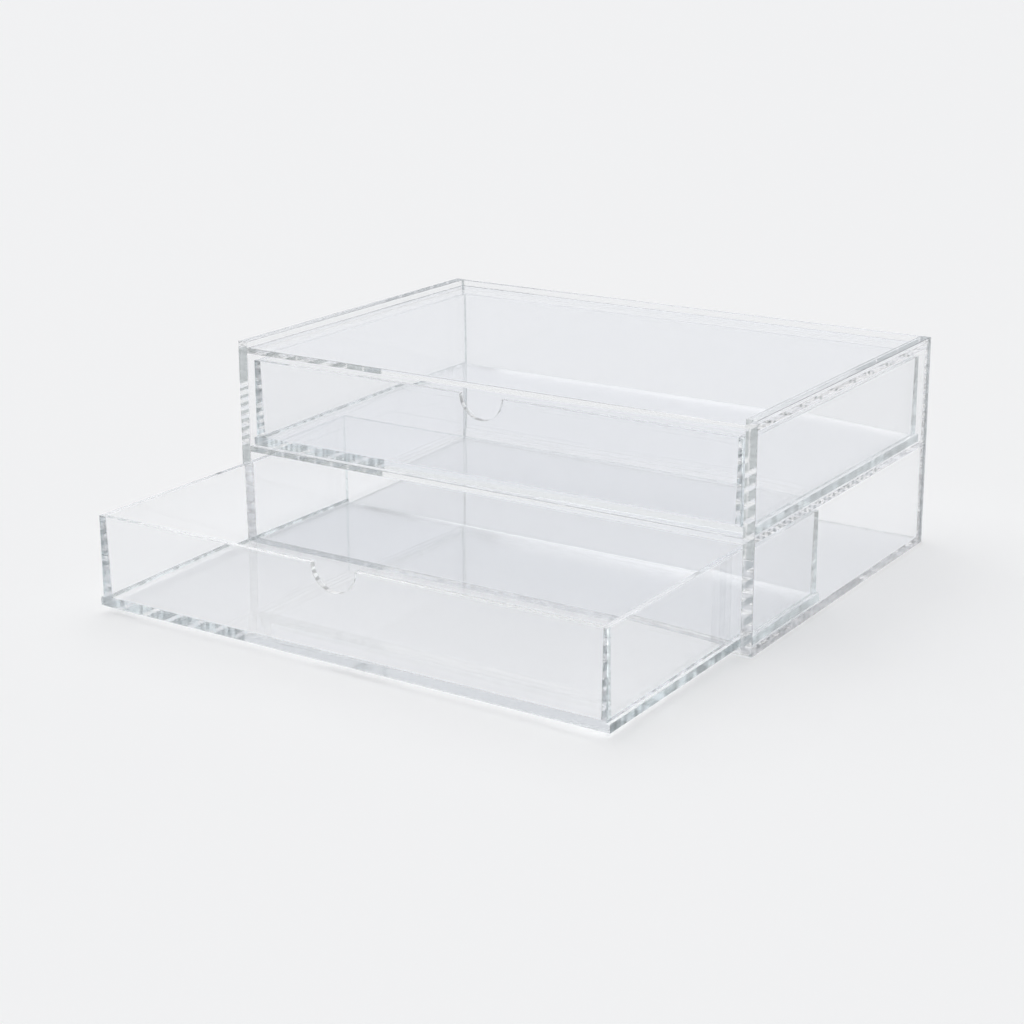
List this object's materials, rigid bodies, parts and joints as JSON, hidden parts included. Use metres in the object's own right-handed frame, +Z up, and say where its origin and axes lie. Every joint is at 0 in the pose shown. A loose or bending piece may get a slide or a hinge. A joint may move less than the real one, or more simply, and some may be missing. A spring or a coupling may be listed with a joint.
{
  "type": "desk organizer",
  "caption": "Clear acrylic desk organizer: a low open-fronted case with a raised rim and pull-out drawers, one above the other, each with a half-round finger notch.",
  "frame": {"origin": "centre of the case's footprint, on the surface the case stands on", "axes": "+X to the right and +Y to the back, seen from the drawer fronts; +Z up. The drawers pull out along -Y"},
  "size_m": [0.255, 0.268, 0.095],
  "materials": {
    "clear_acrylic": "polished"
  },
  "bodies": {
    "case": {"left_side_panel": "clear_acrylic", "right_side_panel": "clear_acrylic", "back_panel": "clear_acrylic", "top_panel": "clear_acrylic", "middle_shelf": "clear_acrylic", "bottom_panel": "clear_acrylic"},
    "upper_drawer": {"upper_drawer_base": "clear_acrylic", "upper_drawer_front": "clear_acrylic", "upper_drawer_back": "clear_acrylic", "upper_drawer_left_wall": "clear_acrylic", "upper_drawer_right_wall": "clear_acrylic"},
    "lower_drawer": {"lower_drawer_base": "clear_acrylic", "lower_drawer_front": "clear_acrylic", "lower_drawer_back": "clear_acrylic", "lower_drawer_left_wall": "clear_acrylic", "lower_drawer_right_wall": "clear_acrylic"}
  },
  "joints": [
    {"name": "upper_drawer_slide", "type": "slide", "parent": "case", "child": "upper_drawer", "axis": [0, -1, 0], "range_m": [0, 0.14]},
    {"name": "lower_drawer_slide", "type": "slide", "parent": "case", "child": "lower_drawer", "axis": [0, -1, 0], "range_m": [-0.1, 0.04]}
  ]
}
